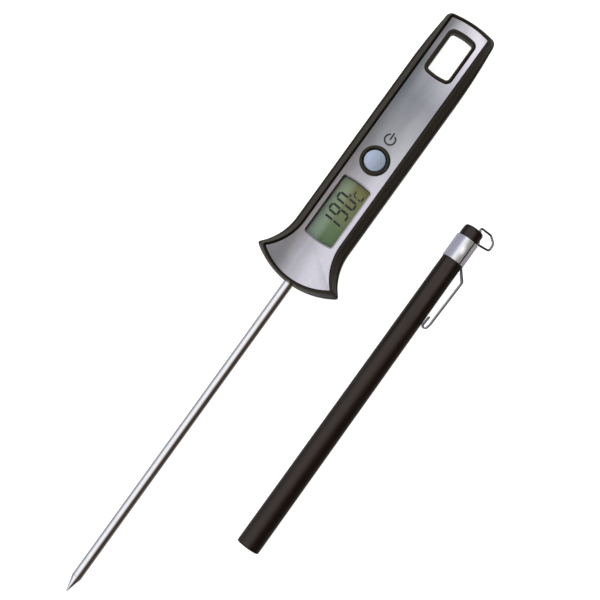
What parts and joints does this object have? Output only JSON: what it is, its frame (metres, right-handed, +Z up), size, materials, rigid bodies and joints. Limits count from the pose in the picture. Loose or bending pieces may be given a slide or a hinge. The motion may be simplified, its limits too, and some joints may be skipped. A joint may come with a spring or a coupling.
{
  "type": "digital probe thermometer",
  "caption": "Digital stick thermometer: flared handle with a display, a push button, a hanging hole and a pointed steel probe, beside its clipped probe sheath.",
  "frame": {"origin": "middle of the flat part of the handle's back, on the surface that it lies on, under the probe's axis line", "axes": "+Y along the handle from the probe towards the hanging hole, +Z up out of the faceplate, +X across the handle towards the sheath"},
  "size_m": [0.0649, 0.2341, 0.0134],
  "materials": {
    "front_housing": "moulded black plastic, satin gloss",
    "rear_housing": "moulded black plastic, fine texture",
    "faceplate": "brushed along the handle",
    "display_lens": "clear polished window",
    "lcd_panel": "grey-green reflective display",
    "inner_plastic": "moulded, plain",
    "zebra_strip": "layered silicone strip",
    "circuit_board": "solder-masked board",
    "controller_blob": "epoxy drop",
    "switch_plunger": "moulded, plain",
    "power_button": "moulded pale blue-grey plastic, satin",
    "button_bezel": "polished black plastic",
    "battery_cell": "nickel-plated can",
    "battery_contacts": "nickel-plated spring strip",
    "battery_cover": "moulded black plastic, fine texture",
    "screws": "zinc-plated self-tapping screws",
    "probe_steel": "polished stainless steel",
    "probe_collar": "turned",
    "probe_seal": "moulded ring",
    "thermistor_bead": "epoxy-dipped",
    "thermistor_leads": "insulated wire",
    "sheath_tube": "moulded brown-black plastic, satin gloss",
    "clip_steel": "bright plated spring strip",
    "ring_steel": "plated wire"
  },
  "bodies": {
    "thermometer": {"front_housing": "front_housing", "rear_housing": "rear_housing", "faceplate": "faceplate", "display_lens": "display_lens", "lcd_panel": "lcd_panel", "lcd_holder": "inner_plastic", "zebra_strip": "zebra_strip", "circuit_board": "circuit_board", "controller_blob": "controller_blob", "switch_body": "inner_plastic", "button_bezel": "button_bezel", "battery_cell": "battery_cell", "battery_contact_negative": "battery_contacts", "battery_contact_positive": "battery_contacts", "housing_screw_1": "screws", "housing_screw_2": "screws", "housing_screw_3": "screws", "housing_screw_4": "screws", "probe_tube": "probe_steel", "probe_tip": "probe_steel", "probe_collar": "probe_collar", "probe_seal": "probe_seal", "thermistor_bead": "thermistor_bead", "thermistor_lead_1": "thermistor_leads", "thermistor_lead_2": "thermistor_leads"},
    "button": {"power_button": "power_button", "switch_plunger": "switch_plunger"},
    "battery_door": {"battery_cover": "battery_cover"},
    "sheath": {"sheath_tube": "sheath_tube", "sheath_clip": "clip_steel"},
    "ring": {"sheath_ring": "ring_steel"}
  },
  "joints": [
    {"name": "button_press", "type": "slide", "parent": "thermometer", "child": "button", "axis": [0, 0, -1], "range_m": [0, 0.0006], "stiffness_N_per_m": 2500},
    {"name": "battery_door_turn", "type": "hinge", "parent": "thermometer", "child": "battery_door", "pos_m": [0, 0.0295, 0], "axis": [0, 0, 1], "range_deg": [0, 60]},
    {"name": "sheath_slide", "type": "slide", "parent": "thermometer", "child": "sheath", "axis": [0, 1, 0], "range_m": [0, 0.127]},
    {"name": "ring_swing", "type": "hinge", "parent": "sheath", "child": "ring", "pos_m": [0.04215, 0.0095, 0.0042], "axis": [0.4472, -0.8944, 0], "range_deg": [0, 100]}
  ]
}
